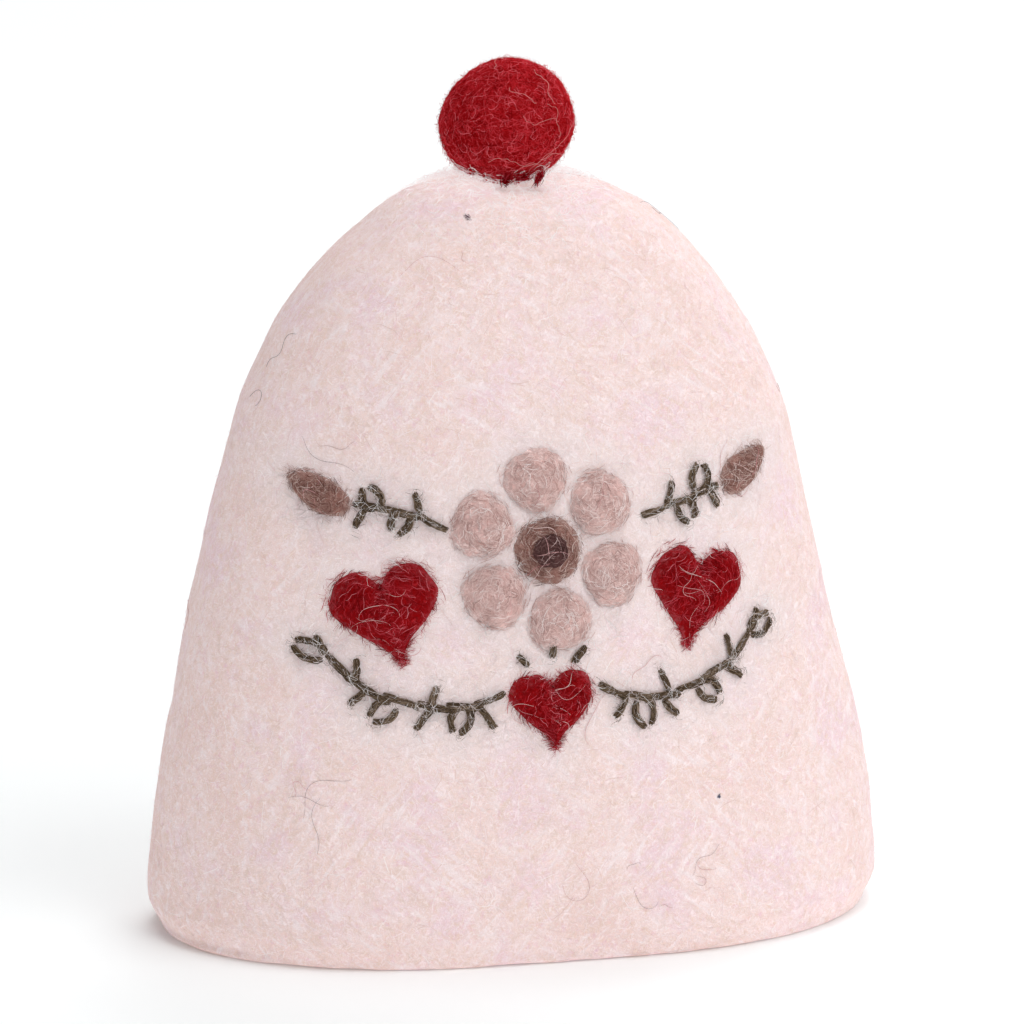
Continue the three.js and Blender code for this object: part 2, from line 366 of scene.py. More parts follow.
# Wet-felted merino in pale pink, carded with a little cream and peach: matt, with soft clouds of tone.
pale_wool = felted_wool(
    "wet_felted_pale_pink_wool",
    ground=[(0.36, "#f4d8df"), (0.5, "#f9e2df"), (0.64, "#f5d9d4")],
    mottle=[(0.36, "#f1cbd6"), (0.46, "#f0cdc7"), (0.54, "#efd4c4"), (0.64, "#f5dcdc")],
    # The hollows' tone is painted shade, and the single fibres' lighter tone is partly painted highlight.
    hair_and_highlight="#fff2f4", painted_hollow_shade="#dfc1b5", curl=0.75, tuft=0.8, depth=0.45, relief=0.03,
    locks=("#ecd2c7", "#fcedee"), needled="#f2e4e3")


def length_along(points):
    """How far along a row of points each of them lies."""
    return np.concatenate([[0], np.cumsum(np.linalg.norm(np.diff(points, axis=0), axis=1))])


def way_round_cap(z, samples):
    """How far one has walked round the cap at a height, and the turn reached there."""
    turn = np.linspace(0, 2 * np.pi, samples)
    return length_along(cap_point(np.full_like(turn, z), turn)), turn


def cap_rings(columns, outer_rows, inner_rows):
    """The cap's profile carried round it: down the inside, round the hem and up the outside.
    Columns stand evenly along the hem, and rows crowd towards the crown, where the surface lies flat."""
    walked, turn = way_round_cap(10.0, 4001)
    angles = np.interp(np.linspace(0, walked[-1], columns, endpoint=False), walked, turn)

    def heights(rows):
        share = 1 - (1 - np.linspace(0, 1, rows, endpoint=False) ** 1.15) ** 1.75
        return HEM_ROUND + (CROWN_HEIGHT - HEM_ROUND) * share

    def section(z, depth):
        ring = cap_point(z[:, None], angles[None, :])
        return ring - depth * cap_outward(ring)

    outer = section(heights(outer_rows), 0)
    outer = dented(outer + cap_outward(outer) * cap_lumps(outer)[..., None], 0.1)
    inner = section(heights(inner_rows)[::-1], WALL)
    inner = dented(inner + cap_outward(inner) * 0.6 * cap_lumps(inner)[..., None], 2.0)
    bend = np.linspace(0, np.pi / 2, 6)[1:-1]
    hem = section(np.full(1, HEM_ROUND), 0)[0]
    turned = HEM_ROUND * (1 - np.cos(bend))
    raised = HEM_ROUND * (1 - np.sin(bend))
    depth = np.concatenate([WALL - turned, turned[::-1]])[:, None, None]
    under = hem[None] - depth * cap_outward(hem)[None]
    uneven = HEM_LIFT * np.clip(clouds(hem, 6, 4) + 0.6 * clouds(hem, 2.5, 5), 0, 1)
    under[..., 2] = np.concatenate([raised, raised[::-1]])[:, None] + uneven
    return np.concatenate([inner, under, outer])


under_ball = BALL_CENTRE - [0, 0, BALL_RADII[2]]
cap = make_piece(
    "cap_felt", *skin(cap_rings(columns=288, outer_rows=132, inner_rows=30),
                      under_ball - [0, 0, 2.1], under_ball - [0, 0, 0.1]), pale_wool, "pale_pink_felt")
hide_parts("cap")

# --------------------------------------------------------------------------------------------------
# The cap's nap: single wool fibres, matted into the surface, that curl over it, and shorter ones that stand
# a little proud. A real fibre is 0.03 mm thick; these are up to three times that, to show, and fewer.
# --------------------------------------------------------------------------------------------------


def strands(
        name, lines, thickness, up, shade, material, slot, sides=3, softness=0.75, flat=1.0, lit=(0, 0, 0),
        shadow=True):
    """Closed tubes along rows of points, with a point at each end: a ring of sides round each inner point, in
    the plane of its up direction and of the direction across it, squashed against up to a share flat of its
    width. The map has the strand's shade across and its length upwards. Softness leans the normals towards up
    and lit, as light scatters among fibres. Single fibres that stand free let light through, so they may go
    without a shadow."""
    count, steps = lines.shape[:2]
    up = np.broadcast_to(up, lines.shape)
    ahead = unit(np.gradient(lines, axis=1))[:, 1:-1]
    across = unit(np.cross(up[:, 1:-1], ahead))
    above = np.cross(ahead, across)
    turn = np.pi / 2 + 2 * np.pi * np.arange(sides) / sides
    radius = np.broadcast_to(thickness, (count, steps))[:, 1:-1, None, None] / 2
    sideways, upright = across[:, :, None] * np.cos(turn)[:, None], above[:, :, None] * np.sin(turn)[:, None]
    rings = lines[:, 1:-1, None] + radius * (sideways + flat * upright)
    vertices = np.concatenate([lines[:, :1], rings.reshape(count, -1, 3), lines[:, -1:]], axis=1)
    soft = unit(up + np.array(lit))
    leaning = unit(softness * soft[:, 1:-1, None] + (1 - softness) * (sideways + upright))
    normals = np.concatenate([soft[:, :1], leaning.reshape(count, -1, 3), soft[:, -1:]], axis=1)
    inner, end = steps - 2, 1 + (steps - 2) * sides
    ring, side = (a.ravel() for a in np.meshgrid(np.arange(inner - 1), np.arange(sides), indexing="ij"))
    a, b = 1 + ring * sides + side, 1 + ring * sides + (side + 1) % sides
    k, k_next = np.arange(sides), (np.arange(sides) + 1) % sides
    last = end - sides
    one = np.vstack([
        np.stack([a, b, a + sides], -1), np.stack([b, b + sides, a + sides], -1),
        np.stack([0 * k, 1 + k_next, 1 + k], -1), np.stack([0 * k + end, last + k, last + k_next], -1)])
    triangles = (one[None] + (end + 1) * np.arange(count)[:, None, None]).reshape(-1, 3)
    along = np.concatenate([[0], np.repeat(np.arange(1, steps - 1), sides), [steps - 1]]) / (steps - 1)
    place = np.stack(np.broadcast_arrays(np.reshape(shade, (count, 1)), along[None]), axis=-1).reshape(-1, 2)
    corners = (0.02 + 0.96 * place)[triangles]
    piece = make_piece(name, vertices.reshape(-1, 3), triangles, corners.reshape(-1, 2), material, slot)
    piece.data.normals_split_custom_set_from_vertices(normals.reshape(-1, 3))
    piece.visible_shadow = shadow
    return piece


def curls(rng, roots, normals, length, bend, sway, waves, steps):
    """Curling lines laid in the plane that touches the surface at each root: the heading turns evenly, by
    up to bend over the whole length, and sways by up to sway in a number of waves, and the steps are
    summed."""
    count = len(roots)
    along = np.linspace(0, 1, steps)
    right = unit(np.cross(normals, rng.normal(size=(count, 3))))
    forward = np.cross(normals, right)
    wave = rng.uniform(*waves, (count, 1)) * along + rng.uniform(0, 1, (count, 1))
    heading = rng.uniform(-bend, bend, (count, 1)) * (along - 0.5)
    heading = heading + rng.uniform(0.4 * sway, sway, (count, 1)) * np.sin(2 * np.pi * wave)
    step = rng.uniform(*length, (count, 1)) / (steps - 1)
    x, y = np.cumsum(np.cos(heading) * step, axis=1), np.cumsum(np.sin(heading) * step, axis=1)
    x, y = x - x.mean(1, keepdims=True), y - y.mean(1, keepdims=True)
    return roots[:, None] + right[:, None] * x[..., None] + forward[:, None] * y[..., None], along


def arched(rng, count, along, lift, sunk=0.05):
    """How high a fibre lies along its length: sunk at both ends, and lifted between, mostly by little."""
    arch = np.sin(np.pi * along)
    return rng.uniform(0.25, 1, (count, 1)) ** 2 * lift * arch - sunk * (1 - arch)


def tapered(rng, count, along, thickness):
    return rng.uniform(*thickness, (count, 1)) * np.sin(np.pi * np.clip(along, 0.12, 0.88)) ** 0.5


def settle_on_cap(points, lift):
    """Moves points across until they lie on the cap's felt at their height, then lifts them off it."""
    points = np.array(points)
    points[..., 2] = np.clip(points[..., 2], 0.3, CROWN_HEIGHT - 0.25)
    centre = np.stack([lean_at(points[..., 2]), 0 * points[..., 0], points[..., 2]], axis=-1)
    for _ in range(2):
        points = centre + (points - centre) * cap_fill(points)[..., None] ** (-1 / SQUARENESS)
    outward = cap_outward(points)
    return dented(points + outward * (cap_lumps(points) + lift)[..., None], 0.1), outward


def cap_roots(rng, count):
    """Random points spread evenly over the cap: heights come as often as their rings are long and apart."""
    z = np.linspace(0.4, CROWN_HEIGHT - 0.4, 600)
    girth = half_width_at(z) + half_depth_at(z)
    weight = np.cumsum(girth * np.hypot(1, np.gradient(girth, z) / 2))
    height = np.interp(rng.uniform(0, weight[-1], count), weight, z)
    walked, turn = way_round_cap(30.0, 2001)
    points = cap_point(height, np.interp(rng.uniform(0, walked[-1], count), walked, turn))
    return points, cap_outward(points)


def wool_fibre(name, tones, gloss=0.04):
    """One wool fibre's finish: its shade is read across the strand's own map, so each strand keeps one."""
    material = bpy.data.materials.new(name)
    tree = cleared_tree(material)
    across = put(tree, "SeparateXYZ", {"Vector": put(tree, "UVMap", uv_map="OFBake").outputs["UV"]})
    tone = put(tree, "ValToRGB", {"Fac": across.outputs["X"]}, tones)
    shader = put(tree, "BsdfPrincipled", {
        "Base Color": tone.outputs["Color"], "Roughness": 0.9, "Specular IOR Level": gloss})
    put(tree, "OutputMaterial", {"Surface": shader.outputs["BSDF"]})
    return material


# Loose ends of the same pale wool: a scale's gloss is lost at this size, so only the tones differ.
pale_fibre = wool_fibre(
    "pale_pink_wool_fibre",
    [(0, "#e3c5ba"), (0.25, "#f2d5d9"), (0.5, "#fae5dd"), (0.75, "#fbe8eb"), (1, "#fff6f3")])


def lying_nap(name, seed, count, length, lift, thickness, steps):
    """Fibres from all over the cap, curled along its surface."""
    rng = np.random.default_rng(seed)
    roots, normals = cap_roots(rng, count)
    lines, along = curls(rng, roots, normals, length, 3.0, 0.8, (0.6, 1.6), steps)
    lines, up = settle_on_cap(lines, arched(rng, count, along, lift))
    thick = tapered(rng, count, along, thickness)
    return strands(
        name, lines, thick, up, rng.uniform(0, 1, count), pale_fibre, "pale_pink_felt", softness=1.0,
        flat=0.15)


def standing_nap(name, seed, count, length, stand, thickness, steps):
    """Short fibres from all over the cap, rooted at one end and leaning out at the other."""
    rng = np.random.default_rng(seed)
    roots, normals = cap_roots(rng, count)
    lines, along = curls(rng, roots, normals, length, 2.0, 0.5, (0.5, 1.2), steps)
    rise = rng.uniform(0.15, 1, (count, 1)) ** 1.5 * stand * along - 0.05 * (1 - along)
    lines, up = settle_on_cap(lines, rise)
    thick = tapered(rng, count, along, thickness)
    return strands(
        name, lines, thick, up, rng.uniform(0.3, 1, count), pale_fibre, "pale_pink_felt", softness=0.9,
        lit=(0.5, -0.7, 1.0), shadow=False)


lying_nap("cap_nap_long", 11, 3600, (4, 8), 0.025, (0.05, 0.09), 6)
lying_nap("cap_nap_short", 12, 5600, (1.5, 3.6), 0.025, (0.05, 0.09), 5)
standing_nap("cap_nap_standing", 13, 6000, (0.5, 1.5), 0.4, (0.025, 0.045), 4)

# --------------------------------------------------------------------------------------------------
# The ball: red wool rolled and felted hard between the palms, so its crimped fibres wind round it every way
# over hollows darkened with painted shade, with a short halo of loose ends. A few pale hairs have strayed
# over it.
# --------------------------------------------------------------------------------------------------
# Red felt, dyed in the wool: deep crimson, with painted shade in its hollows, and rosy on single fibres, a
# tone that is partly painted highlight where they catch the light.
red_wool = felted_wool(
    "rolled_red_wool_felt",
    ground=[(0.3, "#9c0609"), (0.5, "#a6080c"), (0.7, "#970508")],
    mottle=[(0.3, "#8e0306"), (0.5, "#980508"), (0.7, "#860305")],
    hair_and_highlight="#ca2d36", painted_hollow_shade="#560102", curl=0.8, tuft=0.6, depth=0.65, relief=0.15, gloss=0.0)


def ball_lumps(direction):
    """How far the ball's felt stands out of round: clouds read on the ball's own surface."""
    points = direction * BALL_RADII[0]
    slow, middling, small = clouds(points, 6, 21), clouds(points, 2.6, 22), clouds(points, 1.1, 23)
    return 0.08 * slow + 0.05 * middling + 0.06 * small - 0.33


def ball_point(direction, lift):
    """The ball's surface in a direction from its centre, lifted off it. Hand-rolled, it narrows a little
    upwards, and leans to one side."""
    outward = unit(direction / BALL_RADII)
    points = direction * BALL_RADII + outward * (ball_lumps(direction) + lift)[..., None]
    up = np.maximum(direction[..., 2:], 0)
    points = points * (1 - up * [0.075, 0.075, 0.03])
    return BALL_CENTRE + points + 0.05 * points[..., 2:] * [1, 0, 0]


def ball_surface(rows, columns):
    """A sphere by height angle and turn, each point moved out by the ball's lumps."""
    rise = np.linspace(-np.pi / 2, np.pi / 2, rows + 2)[:, None]
    turn = 2 * np.pi * np.arange(columns)[None] / columns
    direction = np.stack(np.broadcast_arrays(
        np.cos(rise) * np.cos(turn), np.cos(rise) * np.sin(turn), np.sin(rise)), axis=-1)
    points = ball_point(direction, np.zeros(direction.shape[:2]))
    return skin(points[1:-1], points[0, 0], points[-1, 0])


ball = make_piece("ball_felt", *ball_surface(80, 128), red_wool, "red_felt")
ball.visible_shadow = False  # light comes round it and through its wool, so the crown stays bright under it
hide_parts("ball")

# The ball's fibres, each in a tone of its own: the darkest tones are partly painted shade, for the crevices
# of a ball that throws no shadow on itself.
red_fibre_and_crevice_shade = wool_fibre(
    "red_wool_fibre",
    [(0, "#690205"), (0.25, "#95090d"), (0.55, "#b91d25"), (0.85, "#cf3f49"), (1, "#dd6d76")], gloss=0.0)


def ball_fuzz(
        name, seed, count, length, bend, sway, waves, lift, stand, thickness, steps, shades=(0, 1), **look):
    """Crimped fibres over the ball, lying along it and standing off it at their far end by up to stand."""
    rng = np.random.default_rng(seed)
    roots = unit(rng.normal(size=(count, 3)))
    lines, along = curls(rng, roots * BALL_RADII[0], roots, length, bend, sway, waves, steps)
    direction = unit(lines)
    rise = arched(rng, count, along, lift, 0.06)
    rise = rise + rng.uniform(0.1, 1, (count, 1)) ** 1.5 * stand * along ** 1.5
    thick = tapered(rng, count, along, thickness)
    shade = rng.uniform(*shades, count)
    return strands(
        name, ball_point(direction, rise), thick, direction, shade, red_fibre_and_crevice_shade, "red_felt", softness=0.4,
        flat=0.7, **look)


ball_fuzz("ball_fibres", 31, 4700, (1.6, 4.0), 4.5, 1.2, (0.7, 1.6), 0.24, 0, (0.07, 0.11), 7, shadow=False)
# The halo takes only the lighter tones of the fibres: painted light, as thin ends let light through.
ball_fuzz(
    "ball_halo", 32, 4600, (0.7, 1.8), 2.6, 0.6, (0.5, 1.0), 0.1, 0.9, (0.03, 0.052), 4, (0.35, 1),
    shadow=False)

# Pale stray hairs, caught on the ball at random. Each wanders over it, and is crimped in fine waves, whose
# length and depth are shares of the ball's radius.
BALL_HAIRS = 10
CRIMP_LENGTH = 0.2
CRIMP_DEPTH = 0.012
pale_hair = wool_fibre("pale_stray_hair", [(0, "#cf6e72"), (1, "#e3a8a4")])
rng = np.random.default_rng(33)
roots = unit(rng.normal(size=(BALL_HAIRS, 3)))
hair_lines, _ = curls(rng, roots * BALL_RADII[0], roots, (4, 15), 1.8, 0.7, (0.8, 1.8), 70)
hair_lines = unit(hair_lines)
walked = np.cumsum(np.linalg.norm(np.diff(hair_lines, axis=1, prepend=hair_lines[:, :1]), axis=-1), axis=1)
crimp = CRIMP_DEPTH * np.sin(2 * np.pi * (walked / CRIMP_LENGTH + 0.25 * np.sin(walked / 0.09)))
beside = unit(np.cross(hair_lines, np.gradient(hair_lines, axis=1)))
hair_lines = unit(hair_lines + crimp[..., None] * beside)
strands(
    "ball_stray_hairs", ball_point(hair_lines, np.full(hair_lines.shape[:2], 0.25)), 0.05, hair_lines,
    np.linspace(1, 0, BALL_HAIRS), pale_hair, "pale_pink_felt", softness=0.3)

# --------------------------------------------------------------------------------------------------
# The ball's seat: pinches of the ball's own wool, drawn down through the crown with a needle, tack it in
# front and behind, and the cap's wool, rubbed up by the sewing, lies in pale fluff round its foot and over
# its edge.
# --------------------------------------------------------------------------------------------------
PINCHES = [
    # where it leaves the ball and where it enters the cap, from the ball's centre, and its width on the ball
    ((-1.2, -5.3, -5.6), (-1.6, -5.8, -6.8), 1.2),
    ((0.5, -5.3, -5.6), (0.4, -5.4, -6.1), 2.6),
    ((2.6, -5.1, -5.4), (1.8, -5.9, -6.9), 1.2),
    ((-1.0, 5.1, -5.3), (-1.3, 5.6, -6.6), 1.4),
    ((1.7, 5.0, -5.3), (2.0, 5.6, -6.6), 1.7),
]


def joined_strands(name, groups, material, slot, **shape):
    """Several groups of strands with the same number of steps, as one mesh."""
    lines, thick, up, shade = (np.concatenate(part) for part in zip(*groups))
    return strands(name, lines, thick, up, shade, material, slot, **shape)


def pinch(rng, leaves, enters, wide, count, steps):
    """A pinch of wool: fibres spread over the ball at the top and drawn together raggedly at the tip."""
    leaves, enters = np.array(leaves), np.array(enters)
    away = unit(leaves * [1, 1, 0])
    level = np.cross(away, [0, 0, 1])
    along = np.linspace(0, 1, steps)[:, None]
    spread = rng.uniform(-0.5, 0.5, (count, 1, 1)) * wide * level
    spread = spread + rng.uniform(-0.2, 1.2, (count, 1, 1)) * unit([0, 0, 1] + 0.7 * away)
    tip = rng.normal(0, 0.24 * wide, (count, 1, 1)) * level + rng.normal(0, 0.1, (count, 1, 1)) * away
    tip = tip + rng.uniform(0, 0.8, (count, 1, 1)) * (leaves - enters)
    lines = BALL_CENTRE + leaves + spread + along * (enters - leaves + tip - spread)
    bow = rng.uniform(0.05, 0.3, (count, 1, 1)) * away + rng.normal(0, 0.22, (count, 1, 1)) * level
    crimp = rng.normal(0, 0.12, (count, 1, 1)) * level
    lines = lines + bow * np.sin(np.pi * along) + crimp * np.sin(2 * np.pi * (1.3 * along + rng.uniform(
        0, 1, (count, 1, 1))))
    up = np.broadcast_to(unit(away + [0, 0, 0.6]), lines.shape)
    return lines, tapered(rng, count, along[:, 0], (0.06, 0.1)), up, rng.uniform(0, 1, count)


rng = np.random.default_rng(35)
# The pinches are of the ball's own wool, in darker tones: painted shade, as they lie under the ball.
red_fibre_in_painted_shade = wool_fibre(
    "red_wool_fibre_in_painted_shade", [(0, "#5a0306"), (0.5, "#7f0a10"), (0.85, "#a31d28"), (1, "#cf5563")], gloss=0.0)
joined_strands(
    "ball_pinches", [pinch(rng, leaves, enters, wide, 60, 7) for leaves, enters, wide in PINCHES],
    red_fibre_in_painted_shade, "red_felt", softness=0.4)

# Wool rubbed up by the sewing stands free; its tone, paler than the felt that it comes from, is painted
# light, for the light that loose fibres catch and let through.
fluff_fibre_in_painted_light = wool_fibre(
    "rubbed_up_wool_fibre_in_painted_light", [(0, "#ecd9d8"), (0.4, "#f7e9e8"), (1, "#ffffff")])


def out_of_ball(points, clear):
    """Pushes points out of the ball where they would enter it."""
    offset = (points - BALL_CENTRE) / (BALL_RADII + clear)
    near = np.linalg.norm(offset, axis=-1, keepdims=True)
    return BALL_CENTRE + offset * np.maximum(1, 1 / np.maximum(near, 1e-6)) * (BALL_RADII + clear)


FLUFF_LIT = (0.5, -1.0, 0.9)  # fluff takes the light from the front, the right and above
FLUFF_FULL_REACH, FLUFF_FADE = 5.5, 4.5  # from the ball's axis: how far fluff lies thick, and then thins out


def crown_fluff(name, seed, count, heights, length, stand, thickness, steps):
    """Fluff on the crown round the ball's foot: curls that lie loosely on the felt, rise out of it towards
    the ball and lean against it, thinning out with the distance from it."""
    rng = np.random.default_rng(seed)
    tried = 6 * count
    z = heights[1] - (heights[1] - heights[0]) * rng.uniform(0, 1, tried)
    roots = cap_point(z, rng.uniform(0, 2 * np.pi, tried))
    away = np.hypot(roots[:, 0] - BALL_CENTRE[0], roots[:, 1] - BALL_CENTRE[1])
    near = np.exp(-(np.maximum(away - FLUFF_FULL_REACH, 0) / FLUFF_FADE) ** 2)
    kept = np.flatnonzero(rng.uniform(0, 1, tried) < near)[:count]
    count, roots, near = len(kept), roots[kept], near[kept]
    lines, along = curls(rng, roots, cap_outward(roots), length, 4.0, 0.9, (0.5, 1.4), steps)
    height = rng.uniform(0.1, stand, (count, 1)) * (0.15 + 0.85 * near[:, None])
    height = height * np.sin(np.pi * along ** rng.uniform(0.6, 1.2, (count, 1)))
    lines, up = settle_on_cap(lines, 0.05 + height)
    lines = out_of_ball(lines, -0.1)
    thick = tapered(rng, count, along, thickness)
    return strands(
        name, lines, thick, up, rng.uniform(0, 1, count), fluff_fibre_in_painted_light, "pale_pink_felt", softness=1.0,
        lit=FLUFF_LIT, shadow=False)


MOST_CLIMB = 22  # how far fluff climbs the ball, in degrees


def climbing_fluff(name, seed, count, steps):
    """Fluff over the ball's lower edge: arcs that start under it, climb a little way up it and fall back."""
    rng = np.random.default_rng(seed)
    along = np.linspace(0, 1, steps)
    start = rng.uniform(-60, -46, (count, 1))
    climb = np.minimum(rng.gamma(1.6, 4.0, (count, 1)), MOST_CLIMB)
    sideways = rng.normal(0, 11, (count, 1)) * (along - 0.5) + 3 * np.sin(
        2 * np.pi * (along * rng.uniform(0.5, 1.5, (count, 1)) + rng.uniform(0, 1, (count, 1))))
    rise = np.radians(start + climb * np.sin(np.pi * along ** rng.uniform(0.6, 1.3, (count, 1))))
    # It gathers in a few places round the foot: to the right and the left of the front, and behind.
    place = rng.uniform(0, 2 * np.pi, (count, 1))
    place = place + 0.45 * np.sin(3 * place + 0.4) + 0.3 * np.sin(5 * place + 2)
    turn = place + np.radians(sideways)
    direction = np.stack([np.cos(rise) * np.sin(turn), -np.cos(rise) * np.cos(turn), np.sin(rise)], axis=-1)
    lift = 0.12 + rng.uniform(0.05, 0.6, (count, 1)) * np.sin(np.pi * along)
    thick = tapered(rng, count, along, (0.025, 0.045))
    up = unit(direction * [1, 1, 0.2] + [0, 0, 0.5])
    return strands(
        name, ball_point(direction, lift), thick, up, rng.uniform(0, 1, count), fluff_fibre_in_painted_light, "pale_pink_felt",
        softness=1.0, lit=FLUFF_LIT, shadow=False)


crown_fluff("crown_fluff", 36, 1700, (80.0, 86.6), (1.0, 3.0), 1.2, (0.035, 0.06), 6)
climbing_fluff("ball_foot_fluff", 37, 480, 7)

# --------------------------------------------------------------------------------------------------
# Pads of dyed wool, needle-felted on to the front: a flower of six beige petals round a taupe disc with a
# dark brown eye, three red hearts and two taupe buds. Each is crowned, and is caught down hard at its edge.
# --------------------------------------------------------------------------------------------------
MOTIF_X, MOTIF_Z = -0.8, 41
FLOWER_Z, PETAL_REACH, PETAL_COUNT, PETAL_TURN = 6.5, 7.7, 6, 8
DISC_THICK = 1.5


def round_outline(t):
    return np.cos(t), np.sin(t)


def petal_outline(t):
    """A round outline, narrowed towards its foot."""
    return np.cos(t) * (0.86 + 0.14 * np.sin(t)), np.sin(t)


def bud_outline(t):
    """A round outline, narrowed towards its tip."""
    return np.cos(t) * (0.78 - 0.22 * np.sin(t)), np.sin(t)


def heart_outline(t):
    """A heart: the sine cubed and cosine sum curve, shortened at its cleft."""
    turn = np.pi / 2 - t
    up = 13 * np.cos(turn) - 5 * np.cos(2 * turn) - 2 * np.cos(3 * turn) - np.cos(4 * turn)
    return np.sin(turn) ** 3, (up + 2.5) / 14.5


petal_angles = np.radians(PETAL_TURN + 360 * np.arange(PETAL_COUNT) / PETAL_COUNT)
PADS = [
    # name, x, z, turn, width, height, thick, height of its foot over the felt, outline, wool
    *[(f"petal_{i}", -PETAL_REACH * math.sin(a), FLOWER_Z + PETAL_REACH * math.cos(a), math.degrees(a),
       8.2, 6.9, 1.5, 0, petal_outline, "beige") for i, a in enumerate(petal_angles)],
    ("flower_disc", 0, FLOWER_Z, PETAL_TURN, 7.4, 7.2, DISC_THICK, 0, round_outline, "taupe"),
    ("flower_eye", 0, FLOWER_Z, PETAL_TURN, 3.8, 3.6, 0.9, DISC_THICK + 0.1, round_outline, "brown"),
    ("heart_left", -17.6, -0.6, 14, 11.6, 10.8, 1.8, 0, heart_outline, "red"),
    ("heart_right", 17.2, -0.2, -12, 11.4, 11.0, 1.8, 0, heart_outline, "red"),
    ("heart_low", 0.2, -11.4, 3, 9.4, 8.8, 1.7, 0, heart_outline, "red"),
    ("bud_left", -24.4, 12.6, 58, 4.8, 6.6, 1.4, 0, bud_outline, "taupe"),
    ("bud_right", 24.0, 13.2, -55, 4.8, 6.6, 1.4, 0, bud_outline, "taupe"),
]


def front_point(x, z, lift):
    """A point of the cap's front, seen straight on at x and z from the motif's middle, lifted off the felt:
    the superellipse solved for its depth. Returns the outward direction too."""
    x, z = np.broadcast_arrays(np.asarray(x, float) + MOTIF_X, np.asarray(z, float) + MOTIF_Z)
    share = np.clip(np.abs((x - lean_at(z)) / half_width_at(z)), 0, 0.999)
    depth = half_depth_at(z) * (1 - share ** SQUARENESS) ** (1 / SQUARENESS)
    point = np.stack([x, -depth * (1 + swell(x, z, -1)), z], axis=-1)
    outward = cap_outward(point)
    return point + outward * (cap_lumps(point) + lift)[..., None], outward


def turned(x, z, angle):
    return x * np.cos(angle) - z * np.sin(angle), x * np.sin(angle) + z * np.cos(angle)


def place_in_pad(pad, share, t):
    """A place of a pad, from its middle: a share of the way out to its outline, at t round it."""
    _, _, _, turn, width, height, _, _, outline, _ = pad
    u, v = outline(t)
    return turned(share * u * width / 2, share * v * height / 2, math.radians(turn))


def rough_edge(t, seed):
    """A needled edge is never even: it wanders by about a twentieth of the pad's size."""
    phase = np.random.default_rng(seed).uniform(0, 2 * np.pi, 3)
    slow, quick, quickest = np.sin(3 * t + phase[0]), np.sin(7 * t + phase[1]), np.sin(13 * t + phase[2])
    return 1 + 0.03 * slow + 0.025 * quick + 0.015 * quickest


def crown(share):
    """A pad's height as a share of its thickness: a dome that thins out to nothing at its edge."""
    return np.maximum(1 - np.clip(share, 0, 1) ** 2, 0) ** 0.95


def tuft_lumps(x, z, seed):
    """Knobs left by the needle, as a share of the pad's thickness, read in the plane of the front."""
    points = np.stack(np.broadcast_arrays(x, z, 0 * x), axis=-1)
    return 0.16 * clouds(points, 1.9, seed) + 0.1 * clouds(points, 0.8, seed + 1)


def pad_surface(pad, seed, rows=20, columns=72):
    """A pad by its share of the way out and its turn: a flat underside just over the felt, a crowned top."""
    _, x, z, _, _, _, thick, foot, _, _ = pad
    t = 2 * np.pi * np.arange(columns) / columns
    share = np.concatenate([np.linspace(0, 1, 7)[1:], 1 - np.linspace(0, 1, rows)[1:-1] ** 1.6])[:, None]
    across, up = place_in_pad(pad, share * rough_edge(t, seed), t)
    top = np.arange(len(share))[:, None] >= 6
    lift = foot + 0.05 + top * thick * crown(share) * (1 + tuft_lumps(x + across, z + up, seed))
    rings, _ = front_point(x + across, z + up, lift)
    ends, _ = front_point([x, x], [z, z], np.array([foot + 0.05, foot + 0.05 + thick]))
    rim = np.concatenate([[0], np.repeat(share[:, 0], columns), [0]])
    return skin(rings, ends[0], ends[1]), rim


# Needle-felted wool keeps more of its web than wet-felted wool does, so fibres and hollows show strongly: the
# hollows' darker tone is painted shade, and the fibres' lighter tone is partly painted highlight.
PAD_WOOLS = {
    "beige": felted_wool(
        "needled_beige_wool",
        ground=[(0.3, "#e2bab5"), (0.5, "#e6c1bb"), (0.7, "#dcb1ac")],
        mottle=[(0.3, "#cfa39d"), (0.5, "#d4a9a2"), (0.7, "#c99b95")],
        hair_and_highlight="#fbe3df", painted_hollow_shade="#a77970", curl=0.8, tuft=0.7, depth=0.5, relief=0.1, fades_to="#f0dedb"),
    "taupe": felted_wool(
        "needled_taupe_wool",
        ground=[(0.3, "#93685e"), (0.5, "#9b7066"), (0.7, "#8c6056")],
        mottle=[(0.3, "#774e45"), (0.5, "#7e554c"), (0.7, "#70463e")],
        hair_and_highlight="#c19d93", painted_hollow_shade="#4f2f29", curl=0.8, tuft=0.7, depth=0.5, relief=0.1, fades_to="#c9aca4"),
    "brown": felted_wool(
        "needled_dark_brown_wool",
        ground=[(0.3, "#4f3331"), (0.5, "#573938"), (0.7, "#472d2c")],
        mottle=[(0.3, "#3f2726"), (0.5, "#452c2b"), (0.7, "#392423")],
        hair_and_highlight="#7b5a57", painted_hollow_shade="#241514", curl=0.7, tuft=0.6, depth=0.5, relief=0.1),
    "red": felted_wool(
        "needled_red_wool",
        ground=[(0.3, "#900a0d"), (0.5, "#9a0c10"), (0.7, "#8a080b")],
        mottle=[(0.3, "#740406"), (0.5, "#7c0508"), (0.7, "#6e0305")],
        hair_and_highlight="#b02830", painted_hollow_shade="#4a0102", curl=0.8, tuft=0.6, depth=0.6, relief=0.15, gloss=0.0,
        fades_to="#c25a60"),
}
